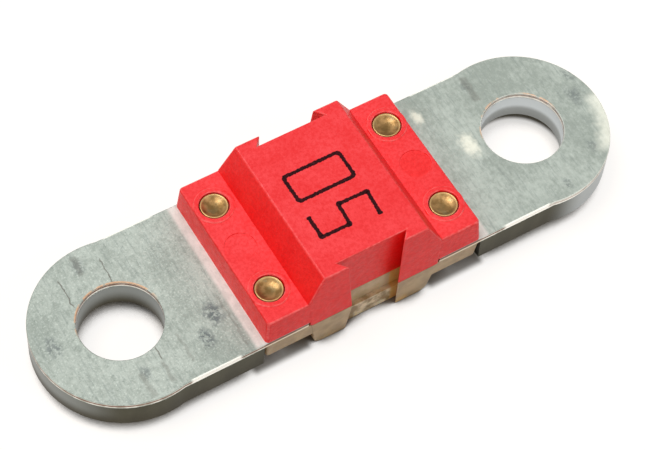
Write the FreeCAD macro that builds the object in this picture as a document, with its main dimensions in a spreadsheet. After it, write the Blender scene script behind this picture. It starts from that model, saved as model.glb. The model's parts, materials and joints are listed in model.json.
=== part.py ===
import FreeCAD, Part
import math
import os
import Sketcher

# Bolt-down strip fuse. A thin tinned copper strip runs the full length and narrows to a
# fusible neck in the middle. A thick terminal plate lies under each end of the strip.
# A hollow cover above and a hollow housing below close over the neck, and four tubular
# rivets clamp cover, strip and housing together.
# The frame: origin midway between the bolt holes, on the plane that the two terminal plates
# seat on, +X along the strip, +Z up through the cover. Millimetres and degrees.

doc = FreeCAD.newDocument("bolt_down_strip_fuse")
sizes = doc.addObject("Spreadsheet::Sheet", "Sizes")

# The driving dimensions
DIMENSIONS = {
    # Strip and terminal plates
    "bolt_spacing": 30.0,
    "bolt_hole_diameter": 5.5,
    "tab_width": 11.74,
    "tab_end_bulge": 0.12,
    "hole_to_tab_end": 5.80,
    "strip_thickness": 0.40,
    "plate_thickness": 1.95,
    # Fusible neck of the strip, inside the body
    "side_punching_depth": 1.67,
    "neck_width": 1.7,
    "neck_length": 2.6,
    "neck_taper_length": 2.1,
    "neck_hole_diameter": 0.7,
    # Plan of the body: two flanges just inside the tab's sides, and a block just outside them
    "block_foot_length": 9.80,
    "flange_length": 3.00,
    "flange_inset": 0.01,
    "block_overhang": 0.05,
    "corner_radius": 0.25,
    "wall_draft": 4.5,
    # Cover heights above the strip
    "cover_flange_height": 2.00,
    "cover_height": 4.05,
    "block_end_slope": 1.15,
    "block_side_slope": 0.35,
    "skirt_inset": 0.18,
    "cover_roof": 1.20,
    # Housing depths below the strip
    "housing_flange_depth": 1.55,
    "housing_depth": 3.05,
    "housing_block_inset": 0.20,
    "sole_end_slope": 0.55,
    "sole_side_slope": 0.24,
    "housing_floor": 1.10,
    "sole_edge_radius": 0.55,
    # Dovetail notch in the middle of each long side
    "notch_mouth": 3.90,
    "notch_floor_length": 5.00,
    "notch_depth": 0.63,
    "shallow_notch_depth": 0.32,
    "notch_ledge_drop": 1.50,
    # Walls between the chamber and the outside
    "chamber_end_wall": 1.12,
    "chamber_side_wall": 0.94,
    # Rivets and their seats
    "rivet_from_side": 2.39,
    "rivet_shank_diameter": 1.50,
    "rivet_head_overhang": 0.175,
    "rivet_head_height": 0.45,
    "rivet_dish_depth": 0.24,
    "rivet_rim": 0.10,
    "rivet_set_overhang": 0.40,
    "rivet_set_height": 0.35,
    "rivet_wall": 0.35,
    "rivet_bore_depth": 1.40,
    "collar_width": 0.375,
    "collar_height": 0.07,
    "collar_slope": 40.0,
    # Round ejector marks in the middle of each flange
    "ejector_mark_diameter": 2.10,
    "ejector_mark_depth": 0.05,
    "ejector_mark_from_end": 1.45,
    # Clearances and edge roundings
    "rivet_clearance": 0.05,
    "strip_clearance": 0.10,
    "plate_clearance": 0.10,
    "moulded_edge": 0.14,
}
for row, (alias, number) in enumerate(DIMENSIONS.items(), start=1):
    sizes.set("A%d" % row, alias)
    sizes.set("B%d" % row, str(number))
    sizes.setAlias("B%d" % row, alias)
doc.recompute()

# Heights of the layers, from the seating plane up
STRIP_BOTTOM = "Sizes.plate_thickness"
STRIP_TOP = "(Sizes.plate_thickness + Sizes.strip_thickness)"
COVER_FLANGE_TOP = "(%s + Sizes.cover_flange_height)" % STRIP_TOP
PLATEAU_TOP = "(%s + Sizes.cover_height)" % STRIP_TOP
HOUSING_FLANGE_BOTTOM = "(%s - Sizes.housing_flange_depth)" % STRIP_BOTTOM
SOLE = "(%s - Sizes.housing_depth)" % STRIP_BOTTOM

# Lengths along the strip
BODY_LENGTH = "(Sizes.block_foot_length + 2 * Sizes.flange_length)"
PLATEAU_LENGTH = "(Sizes.block_foot_length - 2 * Sizes.block_end_slope)"
SKIRT_LENGTH = "(Sizes.block_foot_length - 2 * Sizes.skirt_inset)"
HOUSING_BLOCK_LENGTH = "(Sizes.block_foot_length - 2 * Sizes.housing_block_inset)"
SOLE_LENGTH = "(%s - 2 * Sizes.sole_end_slope)" % HOUSING_BLOCK_LENGTH
CHAMBER_LENGTH = "(%s - 2 * Sizes.chamber_end_wall)" % SKIRT_LENGTH

# Widths across it
BODY_WIDTH = "(Sizes.tab_width - 2 * Sizes.flange_inset)"
BLOCK_WIDTH = "(Sizes.tab_width + 2 * Sizes.block_overhang)"
PLATEAU_WIDTH = "(%s - 2 * Sizes.block_side_slope)" % BLOCK_WIDTH
SOLE_WIDTH = "(%s - 2 * Sizes.sole_side_slope)" % BLOCK_WIDTH
INNER_STRIP_WIDTH = "(Sizes.tab_width - 2 * Sizes.side_punching_depth)"
NOTCH_MOUTH_Y = "(%s / 2)" % PLATEAU_WIDTH
NOTCH_FLOOR_Y = "(%s - Sizes.notch_depth)" % NOTCH_MOUTH_Y
SHALLOW_NOTCH_Y = "(%s - Sizes.shallow_notch_depth)" % NOTCH_MOUTH_Y
CHAMBER_WIDTH = "(2 * (%s - Sizes.chamber_side_wall))" % NOTCH_FLOOR_Y

# Bolt holes, round ends and rivets
TAB_END_RADIUS = "(Sizes.tab_width / 2 + Sizes.tab_end_bulge)"
BOLT_X = "(Sizes.bolt_spacing / 2)"
TAB_ROUND_X = "(%s + Sizes.hole_to_tab_end - %s)" % (BOLT_X, TAB_END_RADIUS)
RIVET_X = "((%s - Sizes.flange_length) / 2)" % BODY_LENGTH
RIVET_Y = "(%s / 2 - Sizes.rivet_from_side)" % BODY_WIDTH
RIVET_HOLE = "(Sizes.rivet_shank_diameter + 2 * Sizes.rivet_clearance)"
RIVET_HEAD = "(Sizes.rivet_shank_diameter + 2 * Sizes.rivet_head_overhang)"
RIVET_SEAT = "(%s + 2 * Sizes.rivet_clearance)" % RIVET_HEAD
COLLAR = "(%s + 2 * Sizes.collar_width)" % RIVET_SEAT
EJECTOR_MARK_X = "(%s / 2 - Sizes.ejector_mark_from_end)" % BODY_LENGTH
BOTH_WAYS = (1, -1)


def number_of(expression):
    """The number that an expression over the sheet stands for."""
    return float(sizes.evalExpression(expression.replace("Sizes.", "")))


def new_body(label):
    body = doc.addObject("PartDesign::Body", label)
    body.Label = label
    return body


def origin_plane(body, role):
    for feature in body.Origin.OriginFeatures:
        if feature.Role == role:
            return feature
    raise ValueError("no origin feature with the role " + role)


def new_sketch(body, name, height="0", role="XY_Plane"):
    """A sketch on one of the body's own origin planes, raised to a height."""
    sketch = body.newObject("Sketcher::SketchObject", name)
    sketch.AttachmentSupport = [(origin_plane(body, role), "")]
    sketch.MapMode = "FlatFace"
    if height != "0":
        sketch.setExpression("AttachmentOffset.Base.z", height)
    return sketch


def bind(sketch, constraint, expression):
    """Add a dimension to a sketch and tie it to the sheet."""
    index = sketch.addConstraint(constraint)
    sketch.setExpression("Constraints[%d]" % index, expression)


def fix_point(sketch, geometry, end, across, along):
    """Hold a point of a sketch at two expressions, or on an axis where one of them is 0."""
    for kind, expression, axis in (("DistanceX", across, -2), ("DistanceY", along, -1)):
        if expression == "0":
            sketch.addConstraint(Sketcher.Constraint("PointOnObject", geometry, end, axis))
        else:
            number = number_of(expression)
            bind(sketch, Sketcher.Constraint(kind, -1, 1, geometry, end, number), expression)


def polygon(sketch, corners):
    """A closed outline of straight lines through corners given as pairs of expressions."""
    points = [FreeCAD.Vector(number_of(x), number_of(y), 0) for x, y in corners]
    first = sketch.GeometryCount
    count = len(points)
    for index in range(count):
        line = Part.LineSegment(points[index], points[(index + 1) % count])
        sketch.addGeometry(line, False)
    for index in range(count):
        following = first + (index + 1) % count
        sketch.addConstraint(Sketcher.Constraint("Coincident", first + index, 2, following, 1))
    for index, (x, y) in enumerate(corners):
        fix_point(sketch, first + index, 1, x, y)


def rectangle(sketch, length, width):
    """A rectangle centred on the origin."""
    x, y = "%s / 2" % length, "%s / 2" % width
    polygon(sketch, [("-(%s)" % x, "-(%s)" % y), (x, "-(%s)" % y), (x, y), ("-(%s)" % x, y)])


def circle(sketch, x, y, diameter):
    centre = FreeCAD.Vector(number_of(x), number_of(y), 0)
    index = sketch.addGeometry(Part.Circle(centre, FreeCAD.Vector(0, 0, 1), number_of(diameter) / 2))
    fix_point(sketch, index, 3, x, y)
    bind(sketch, Sketcher.Constraint("Diameter", index, number_of(diameter)), diameter)


def circles_at_rivets(sketch, diameter):
    for end in BOTH_WAYS:
        for side in BOTH_WAYS:
            circle(sketch, "%d * %s" % (end, RIVET_X), "%d * %s" % (side, RIVET_Y), diameter)


def pad(body, sketch, name, length, taper=None, down=False):
    feature = body.newObject("PartDesign::Pad", name)
    feature.Profile = sketch
    feature.setExpression("Length", length)
    feature.Reversed = down
    if taper is not None:
        feature.setExpression("TaperAngle", taper)
    return feature


def pocket(body, sketch, name, depth=None, up=False):
    """Cut down into the body, or up where the sketch lies below what is cut."""
    before = body.Shape.Volume
    feature = body.newObject("PartDesign::Pocket", name)
    feature.Profile = sketch
    feature.Reversed = up
    if depth is None:
        feature.Type = "ThroughAll"
    else:
        feature.setExpression("Length", depth)
    doc.recompute()
    if not feature.Shape.Volume < before - 1e-6:
        raise ValueError(name + " cuts nothing")
    return feature


def loft(body, sketches, name):
    feature = body.newObject("PartDesign::AdditiveLoft", name)
    feature.Profile = sketches[0]
    feature.Sections = sketches[1:]
    feature.Ruled = True
    return feature


def mirrored(body, feature, name, role):
    """Repeat a feature on the other side of one of the body's origin planes."""
    mirror = body.newObject("PartDesign::Mirrored", name)
    mirror.Originals = [feature]
    mirror.MirrorPlane = (origin_plane(body, role), [""])
    body.Tip = mirror
    doc.recompute()
    return mirror


def round_edges(body, name, radius, wanted):
    """Round the edges of the body's last feature that the test picks."""
    doc.recompute()
    base = body.Tip
    names = ["Edge%d" % (n + 1) for n, edge in enumerate(base.Shape.Edges) if wanted(edge)]
    if not names:
        raise ValueError(name + " finds no edge")
    fillet = body.newObject("PartDesign::Fillet", name)
    fillet.Base = (base, names)
    fillet.setExpression("Radius", radius)
    doc.recompute()
    return fillet


def tab_arc(sketch, end):
    """The round end of a tab, a little wider than the strip, so that it meets it in a small step.

    end is 1 for the end towards +X and -1 for the other. The arc turns anticlockwise.
    """
    centre_x = end * number_of(TAB_ROUND_X)
    radius = number_of(TAB_END_RADIUS)
    half_width = number_of("Sizes.tab_width / 2")
    swing = math.pi - math.asin(half_width / radius)
    turn = 0 if end == 1 else math.pi
    round_end = Part.Circle(FreeCAD.Vector(centre_x, 0, 0), FreeCAD.Vector(0, 0, 1), radius)
    index = sketch.addGeometry(Part.ArcOfCircle(round_end, turn - swing, turn + swing))
    fix_point(sketch, index, 3, "%d * %s" % (end, TAB_ROUND_X), "0")
    bind(sketch, Sketcher.Constraint("Radius", index, radius), TAB_END_RADIUS)
    for point, side in ((1, -end), (2, end)):
        place = Sketcher.Constraint("DistanceY", -1, 1, index, point, side * half_width)
        bind(sketch, place, "%d * Sizes.tab_width / 2" % side)
    return index


def join(sketch, geometry, end, other, other_end):
    """A straight line between two ends that the sketch already holds."""
    line = Part.LineSegment(sketch.getPoint(geometry, end), sketch.getPoint(other, other_end))
    index = sketch.addGeometry(line)
    sketch.addConstraint(Sketcher.Constraint("Coincident", index, 1, geometry, end))
    sketch.addConstraint(Sketcher.Constraint("Coincident", index, 2, other, other_end))


def make_strip():
    """Thin strip with a round tab at each end and a narrow neck in the middle."""
    body = new_body("fuse_strip")
    outline = new_sketch(body, "strip_outline", STRIP_BOTTOM)
    right, left = tab_arc(outline, 1), tab_arc(outline, -1)
    join(outline, right, 2, left, 1)
    join(outline, left, 2, right, 1)
    pad(body, outline, "strip_sheet", "Sizes.strip_thickness")
    doc.recompute()

    holes = new_sketch(body, "strip_holes", STRIP_TOP)
    for end in BOTH_WAYS:
        circle(holes, "%d * %s" % (end, BOLT_X), "0", "Sizes.bolt_hole_diameter")
    circles_at_rivets(holes, RIVET_HOLE)
    circle(holes, "0", "0", "Sizes.neck_hole_diameter")
    pocket(body, holes, "punched_holes")

    # One side is punched away inside the body, where the cover's skirt closes on the housing,
    # and further in it tapers to the neck. The other side is its mirror image.
    relief = new_sketch(body, "neck_outline", STRIP_TOP)
    skirt_x = "(%s / 2 + Sizes.strip_clearance)" % SKIRT_LENGTH
    neck_x = "(Sizes.neck_length / 2)"
    taper_x = "(Sizes.neck_length / 2 + Sizes.neck_taper_length)"
    outside_y = "(Sizes.tab_width)"
    inner_y = "(%s / 2)" % INNER_STRIP_WIDTH
    neck_y = "(Sizes.neck_width / 2)"
    right_side = [(skirt_x, outside_y), (skirt_x, inner_y), (taper_x, inner_y), (neck_x, neck_y)]
    left_side = [("-" + x, y) for x, y in reversed(right_side)]
    polygon(relief, right_side + left_side)
    cut = pocket(body, relief, "side_punching")
    mirrored(body, cut, "other_side_punching", "XZ_Plane")
    return body


def make_terminal_plate(label, half_turn):
    """Thick plate under one tab, from the tab's round end to the end of the housing."""
    body = new_body(label)
    outline = new_sketch(body, label + "_outline")
    arc = tab_arc(outline, 1)
    inner_x = "(%s / 2 + Sizes.plate_clearance)" % BODY_LENGTH
    start = FreeCAD.Vector(number_of(inner_x), number_of("Sizes.tab_width / 2"), 0)
    stop = FreeCAD.Vector(start.x, -start.y, 0)
    inner_end = outline.addGeometry(Part.LineSegment(start, stop))
    fix_point(outline, inner_end, 1, inner_x, "Sizes.tab_width / 2")
    fix_point(outline, inner_end, 2, inner_x, "-Sizes.tab_width / 2")
    join(outline, arc, 2, inner_end, 1)
    join(outline, inner_end, 2, arc, 1)
    pad(body, outline, label + "_plate", "Sizes.plate_thickness")
    doc.recompute()

    hole = new_sketch(body, label + "_bolt_circle", STRIP_BOTTOM)
    circle(hole, BOLT_X, "0", "Sizes.bolt_hole_diameter")
    pocket(body, hole, label + "_bolt_hole")
    if half_turn:
        body.Placement = FreeCAD.Placement(FreeCAD.Vector(), FreeCAD.Rotation(180, 0, 0))
    return body


def notch_outline(sketch, floor_y):
    """Dovetail on the +Y side: straight flanks that run from its floor out through its mouth."""
    lean = "((Sizes.notch_floor_length - Sizes.notch_mouth) / 2 / Sizes.notch_depth)"
    outside_y = "(%s / 2 + Sizes.notch_depth)" % BLOCK_WIDTH
    half = "(Sizes.notch_mouth / 2 + %s * (%s - %s))"
    outer_x = half % (lean, NOTCH_MOUTH_Y, outside_y)
    inner_x = half % (lean, NOTCH_MOUTH_Y, floor_y)
    polygon(sketch, [
        (outer_x, outside_y), ("-" + outer_x, outside_y),
        ("-" + inner_x, floor_y), (inner_x, floor_y),
    ])


def level(edge, height):
    """True for an edge that lies flat at one height."""
    box = edge.BoundBox
    return abs(box.ZMin - height) < 1e-4 and abs(box.ZMax - height) < 1e-4


def make_cover():
    """Upper moulding: two flanges, a raised block with sloping ends and a hollow underneath."""
    body = new_body("top_cover")
    flange = new_sketch(body, "cover_flange_plan", STRIP_TOP)
    rectangle(flange, BODY_LENGTH, BODY_WIDTH)
    pad(body, flange, "cover_flange", "Sizes.cover_flange_height", "-Sizes.wall_draft")
    corner = lambda edge: edge.BoundBox.ZLength > 0.5 * number_of("Sizes.cover_flange_height")
    round_edges(body, "cover_corners", "Sizes.corner_radius", corner)
    flange_top = number_of(COVER_FLANGE_TOP)
    round_edges(body, "cover_rim", "Sizes.moulded_edge", lambda edge: level(edge, flange_top))

    # The block's sides reach down past the strip, as a skirt, to the top of the housing.
    skirt = new_sketch(body, "skirt_plan", STRIP_BOTTOM)
    rectangle(skirt, SKIRT_LENGTH, BLOCK_WIDTH)
    foot = new_sketch(body, "block_foot_plan", COVER_FLANGE_TOP)
    rise = "((Sizes.cover_height - Sizes.cover_flange_height)"
    rise += " / (Sizes.cover_height + Sizes.strip_thickness))"
    foot_width = "(%s + 2 * Sizes.block_side_slope * %s)" % (PLATEAU_WIDTH, rise)
    rectangle(foot, "Sizes.block_foot_length", foot_width)
    plateau = new_sketch(body, "plateau_plan", PLATEAU_TOP)
    rectangle(plateau, PLATEAU_LENGTH, PLATEAU_WIDTH)
    loft(body, [skirt, foot, plateau], "raised_block")
    doc.recompute()

    notch = new_sketch(body, "cover_notch_plan", PLATEAU_TOP)
    notch_outline(notch, NOTCH_FLOOR_Y)
    cut = pocket(body, notch, "cover_notch")
    mirrored(body, cut, "cover_notch_other_side", "XZ_Plane")
    plateau_top = number_of(PLATEAU_TOP)
    round_edges(body, "plateau_edge", "Sizes.moulded_edge", lambda edge: level(edge, plateau_top))

    channel = new_sketch(body, "strip_channel_plan", STRIP_BOTTOM)
    channel_width = "(%s + 2 * Sizes.strip_clearance)" % INNER_STRIP_WIDTH
    rectangle(channel, BODY_LENGTH, channel_width)
    pocket(body, channel, "strip_channel", "Sizes.strip_thickness", up=True)
    chamber = new_sketch(body, "cover_chamber_plan", STRIP_TOP)
    rectangle(chamber, CHAMBER_LENGTH, CHAMBER_WIDTH)
    pocket(body, chamber, "cover_chamber", "Sizes.cover_height - Sizes.cover_roof", up=True)

    collars = new_sketch(body, "collar_plan", COVER_FLANGE_TOP)
    circles_at_rivets(collars, COLLAR)
    pad(body, collars, "collars", "Sizes.collar_height", "-Sizes.collar_slope")
    doc.recompute()
    seats = new_sketch(body, "rivet_seat_plan", "%s + Sizes.collar_height" % COVER_FLANGE_TOP)
    circles_at_rivets(seats, RIVET_SEAT)
    pocket(body, seats, "rivet_seats", "Sizes.rivet_head_height + Sizes.collar_height")
    holes = new_sketch(body, "cover_rivet_plan", COVER_FLANGE_TOP)
    circles_at_rivets(holes, RIVET_HOLE)
    pocket(body, holes, "cover_rivet_holes")

    marks = new_sketch(body, "ejector_mark_plan", COVER_FLANGE_TOP)
    for end in BOTH_WAYS:
        circle(marks, "%d * %s" % (end, EJECTOR_MARK_X), "0", "Sizes.ejector_mark_diameter")
    pocket(body, marks, "ejector_marks", "Sizes.ejector_mark_depth")
    return body


def make_housing():
    """Lower moulding: the same plan, thinner flanges and a block whose sole the fuse rests on."""
    body = new_body("lower_housing")
    flange = new_sketch(body, "housing_flange_plan", STRIP_BOTTOM)
    rectangle(flange, BODY_LENGTH, BODY_WIDTH)
    pad(body, flange, "housing_flange", "Sizes.housing_flange_depth", "-Sizes.wall_draft", down=True)
    corner = lambda edge: edge.BoundBox.ZLength > 0.5 * number_of("Sizes.housing_flange_depth")
    round_edges(body, "housing_corners", "Sizes.corner_radius", corner)
    flange_bottom = number_of(HOUSING_FLANGE_BOTTOM)
    round_edges(body, "housing_rim", "Sizes.moulded_edge", lambda edge: level(edge, flange_bottom))

    block_top = new_sketch(body, "housing_block_plan", STRIP_BOTTOM)
    rectangle(block_top, HOUSING_BLOCK_LENGTH, BLOCK_WIDTH)
    sole = new_sketch(body, "sole_plan", SOLE)
    rectangle(sole, SOLE_LENGTH, SOLE_WIDTH)
    loft(body, [block_top, sole], "housing_block")
    sole_height = number_of(SOLE)
    across = lambda edge: level(edge, sole_height) and edge.BoundBox.XLength < 1e-4
    round_edges(body, "sole_ends", "Sizes.sole_edge_radius", across)

    # The notch is deep above a small ledge and shallower below it.
    shallow = new_sketch(body, "housing_notch_plan", STRIP_BOTTOM)
    notch_outline(shallow, SHALLOW_NOTCH_Y)
    cut = pocket(body, shallow, "housing_notch")
    mirrored(body, cut, "housing_notch_other_side", "XZ_Plane")
    deep = new_sketch(body, "housing_ledge_plan", STRIP_BOTTOM)
    notch_outline(deep, NOTCH_FLOOR_Y)
    cut = pocket(body, deep, "housing_ledge", "Sizes.notch_ledge_drop")
    mirrored(body, cut, "housing_ledge_other_side", "XZ_Plane")

    chamber = new_sketch(body, "housing_chamber_plan", STRIP_BOTTOM)
    rectangle(chamber, CHAMBER_LENGTH, CHAMBER_WIDTH)
    pocket(body, chamber, "housing_chamber", "Sizes.housing_depth - Sizes.housing_floor")
    holes = new_sketch(body, "housing_rivet_plan", STRIP_BOTTOM)
    circles_at_rivets(holes, RIVET_HOLE)
    pocket(body, holes, "housing_rivet_holes")
    return body


def make_rivet(label, end, side):
    """Tubular rivet: a dished head in its seat above, a bored end set over below."""
    body = new_body(label)
    profile = new_sketch(body, label + "_profile", role="XZ_Plane")
    shank_r = "(Sizes.rivet_shank_diameter / 2)"
    head_r = "(%s / 2)" % RIVET_HEAD
    dish_r = "(%s - Sizes.rivet_rim)" % head_r
    set_r = "(%s + Sizes.rivet_set_overhang)" % shank_r
    bore_r = "(%s - Sizes.rivet_wall)" % shank_r
    seat_z = "(%s - Sizes.rivet_head_height)" % COVER_FLANGE_TOP
    set_z = "(%s - Sizes.rivet_set_height)" % HOUSING_FLANGE_BOTTOM
    bore_z = "(%s + Sizes.rivet_bore_depth)" % set_z
    dish_z = "(%s - Sizes.rivet_dish_depth)" % COVER_FLANGE_TOP
    crest_r = "((%s + %s) / 2)" % (bore_r, set_r)
    roll_z = "(%s - Sizes.rivet_set_height / 2)" % HOUSING_FLANGE_BOTTOM
    # Corners of the half section in order: down the bore, over the crest of the rolled end to
    # its seat, up the shank and the head to the rim. A curve then closes the dish to the axis.
    corners = [
        ("0", dish_z), ("0", bore_z), (bore_r, "(%s - %s)" % (bore_z, bore_r)), (bore_r, roll_z),
        (crest_r, set_z), (set_r, roll_z), (set_r, HOUSING_FLANGE_BOTTOM),
        (shank_r, HOUSING_FLANGE_BOTTOM), (shank_r, seat_z), (head_r, seat_z),
        (head_r, COVER_FLANGE_TOP), (dish_r, COVER_FLANGE_TOP),
    ]
    points = [FreeCAD.Vector(number_of(x), number_of(z), 0) for x, z in corners]
    last = len(points) - 1
    for index in range(last):
        profile.addGeometry(Part.LineSegment(points[index], points[index + 1]))
    for index in range(last - 1):
        profile.addConstraint(Sketcher.Constraint("Coincident", index, 2, index + 1, 1))
    for index in range(last):
        fix_point(profile, index, 1, *corners[index])
    fix_point(profile, last - 1, 2, *corners[last])

    # The dish is part of a sphere centred above the rivet on its axis.
    depth = number_of("Sizes.rivet_dish_depth")
    radius = (points[last].x ** 2 + depth ** 2) / (2 * depth)
    centre = FreeCAD.Vector(0, points[0].y + radius, 0)
    ball = Part.Circle(centre, FreeCAD.Vector(0, 0, 1), radius)
    stop = math.atan2(points[last].y - centre.y, points[last].x)
    dish = profile.addGeometry(Part.ArcOfCircle(ball, -math.pi / 2, stop))
    profile.addConstraint(Sketcher.Constraint("Coincident", dish, 1, 0, 1))
    profile.addConstraint(Sketcher.Constraint("Coincident", dish, 2, last - 1, 2))
    profile.addConstraint(Sketcher.Constraint("PointOnObject", dish, 3, -2))

    turned = body.newObject("PartDesign::Revolution", label + "_turned")
    turned.Profile = profile
    turned.ReferenceAxis = (profile, ["V_Axis"])
    turned.Angle = 360
    body.setExpression("Placement.Base.x", "%d * %s" % (end, RIVET_X))
    body.setExpression("Placement.Base.y", "%d * %s" % (side, RIVET_Y))
    doc.recompute()
    return body


sub_parts = [
    make_strip(),
    make_terminal_plate("right_terminal_plate", half_turn=False),
    make_terminal_plate("left_terminal_plate", half_turn=True),
    make_cover(),
    make_housing(),
]
for side, side_name in ((-1, "front"), (1, "back")):
    for end, end_name in ((-1, "left"), (1, "right")):
        sub_parts.append(make_rivet("rivet_%s_%s" % (side_name, end_name), end, side))
doc.recompute()

for item in doc.Objects:
    if "Invalid" in item.State or "Error" in item.State:
        raise RuntimeError("%s did not compute: %s" % (item.Name, item.State))
for item in sub_parts:
    shape = item.Shape
    if shape.isNull() or not shape.isValid() or len(shape.Solids) != 1:
        raise RuntimeError(item.Label + " is not one valid solid")

os.makedirs("parts", exist_ok=True)
for item in sub_parts:
    item.Shape.exportStep(os.path.join("parts", item.Label + ".step"))
    box = item.Shape.optimalBoundingBox(False, False)
    print("%-22s volume %8.2f mm3  x %6.2f to %6.2f  z %6.2f to %6.2f" % (
        item.Label, item.Shape.Volume, box.XMin, box.XMax, box.ZMin, box.ZMax))
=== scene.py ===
# %% [markdown]
# # A bolt-down strip fuse
#
# The fuse is a thin tinned copper strip on two thick terminal plates, with a red cover and an
# amber housing riveted together over its fusible middle. The solids come in ready made, at
# their real size. This lesson gives them rounded edges and finishes, prints the number, and
# sets up the camera and the light. A length is in metres unless a name or a comment says
# millimetres.

# %% Load the solids
import bmesh
import bpy
import json
import math
import random
from mathutils import Matrix, Vector


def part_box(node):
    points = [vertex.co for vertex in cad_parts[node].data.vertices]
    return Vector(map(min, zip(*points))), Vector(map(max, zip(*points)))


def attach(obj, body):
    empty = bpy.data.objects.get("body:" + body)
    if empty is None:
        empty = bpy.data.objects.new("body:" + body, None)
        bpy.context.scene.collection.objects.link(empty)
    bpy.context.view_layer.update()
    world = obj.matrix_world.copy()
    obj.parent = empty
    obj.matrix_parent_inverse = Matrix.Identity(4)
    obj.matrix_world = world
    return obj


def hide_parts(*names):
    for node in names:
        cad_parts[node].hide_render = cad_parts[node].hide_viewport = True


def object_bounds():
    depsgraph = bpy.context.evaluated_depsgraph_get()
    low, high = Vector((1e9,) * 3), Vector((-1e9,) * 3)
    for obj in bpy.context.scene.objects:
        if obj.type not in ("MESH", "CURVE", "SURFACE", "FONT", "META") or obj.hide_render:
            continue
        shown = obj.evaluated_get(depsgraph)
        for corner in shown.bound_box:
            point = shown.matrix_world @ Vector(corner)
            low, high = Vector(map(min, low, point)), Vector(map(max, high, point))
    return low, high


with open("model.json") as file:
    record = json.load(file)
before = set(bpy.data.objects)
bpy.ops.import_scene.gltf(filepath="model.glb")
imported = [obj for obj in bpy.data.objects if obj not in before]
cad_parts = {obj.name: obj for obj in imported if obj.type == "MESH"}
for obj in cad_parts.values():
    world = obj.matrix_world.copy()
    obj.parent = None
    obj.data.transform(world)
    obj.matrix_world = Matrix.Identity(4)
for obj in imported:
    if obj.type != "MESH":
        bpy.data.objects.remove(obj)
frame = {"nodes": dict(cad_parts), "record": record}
CAD_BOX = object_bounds()
MM = 0.001


def new_object(name, data):
    """A new object, put into the scene."""
    made = bpy.data.objects.new(name, data)
    bpy.context.scene.collection.objects.link(made)
    return made


print("solids:", ", ".join(sorted(frame["nodes"])))
print("box in mm:", [round(v / MM, 2) for corner in CAD_BOX for v in corner])

# %% [markdown]
# The camera looks down on the fuse from its near left corner, from about 15 cm, through a long
# lens. It could be placed by eye with a Track To constraint. Here it is built from its two
# angles, its roll and its distance, which is easier to correct one number at a time.

# %% Camera
CAMERA_AZIMUTH = math.radians(-35.045)
CAMERA_ELEVATION = math.radians(57.917)
CAMERA_ROLL = math.radians(5.102)
CAMERA_DISTANCE = 146.88 * MM
FOCAL_LENGTH_IN_PIXELS = 2294
PICTURE_WIDTH_IN_PIXELS = 645
AIM_OFF_CENTRE = (0.332 * MM, 0.224 * MM)
STRIP_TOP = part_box("fuse_strip")[1].z

back = Vector((math.sin(CAMERA_AZIMUTH) * math.cos(CAMERA_ELEVATION),
               -math.cos(CAMERA_AZIMUTH) * math.cos(CAMERA_ELEVATION),
               math.sin(CAMERA_ELEVATION)))
level_right = Vector((math.cos(CAMERA_AZIMUTH), math.sin(CAMERA_AZIMUTH), 0))
level_up = back.cross(level_right)
right = level_right * math.cos(CAMERA_ROLL) + level_up * math.sin(CAMERA_ROLL)
up = level_up * math.cos(CAMERA_ROLL) - level_right * math.sin(CAMERA_ROLL)
aim = Vector((0, 0, STRIP_TOP)) - right * AIM_OFF_CENTRE[0] - up * AIM_OFF_CENTRE[1]

lens = bpy.data.cameras.new("photo_lens")
lens.sensor_width = 36
lens.lens = lens.sensor_width * FOCAL_LENGTH_IN_PIXELS / PICTURE_WIDTH_IN_PIXELS
lens.clip_start = 5 * MM
camera = new_object("photo_camera", lens)
camera.matrix_world = Matrix.Translation(aim + back * CAMERA_DISTANCE) @ Matrix(
    (right, up, back)).transposed().to_4x4()
bpy.context.scene.camera = camera
print("lens %.1f mm" % lens.lens)

# %% [markdown]
# A material is a small graph of nodes. Written out in full, each graph would hide its few ideas
# in wiring, so this cell makes a short notation: `add` puts in a node and joins its inputs, and
# the calls after it name what a finish is made of, such as a noise or a mix of two colours.

# %% A short notation for materials


def add(tree, kind, inputs, **settings):
    """Put a node into a tree. An input is a plain value or another node's output."""
    node = tree.nodes.new("ShaderNode" + kind)
    for name, value in settings.items():
        setattr(node, name, value)
    for name, value in inputs.items():
        if isinstance(value, bpy.types.NodeSocket):
            tree.links.new(value, node.inputs[name])
        else:
            node.inputs[name].default_value = value
    return node


def vectors(tree, operation, first, second):
    """Two vectors added or multiplied, part by part."""
    return add(tree, "VectorMath", {0: first, 1: second}, operation=operation).outputs[0]


def length_of(tree, vector):
    return add(tree, "VectorMath", {0: vector}, operation="LENGTH").outputs["Value"]


def millimetres(tree):
    """The place on the object, in millimetres."""
    return vectors(tree, "MULTIPLY", add(tree, "TexCoord", {}).outputs["Object"], (1000, 1000, 1000))


def noise(tree, place, scale, stretch=(1, 1, 1), detail=3.0, roughness=0.5):
    """Soft noise from 0 to 1. A stretch over 1 packs it closer along that axis."""
    stretched = vectors(tree, "MULTIPLY", place, stretch)
    return add(tree, "TexNoise", {"Vector": stretched, "Scale": scale, "Detail": detail,
                                  "Roughness": roughness}).outputs["Fac"]


def calculate(tree, operation, first, second=0.0):
    return add(tree, "Math", {0: first, 1: second}, operation=operation).outputs[0]


def unsigned(tree, value):
    """The value without its sign."""
    return calculate(tree, "ABSOLUTE", value)


def plus(tree, first, second):
    return calculate(tree, "ADD", first, second)


def larger(tree, first, second):
    return calculate(tree, "MAXIMUM", first, second)


def product(tree, *shares):
    """All the shares multiplied together."""
    result = shares[0]
    for share in shares[1:]:
        result = calculate(tree, "MULTIPLY", result, share)
    return result


def between(tree, value, low, high):
    """0 up to low, 1 from high on, and smooth between. With low above high it runs the other way."""
    return add(tree, "MapRange", {"Value": value, "From Min": low, "From Max": high},
               interpolation_type="SMOOTHSTEP").outputs[0]


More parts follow.
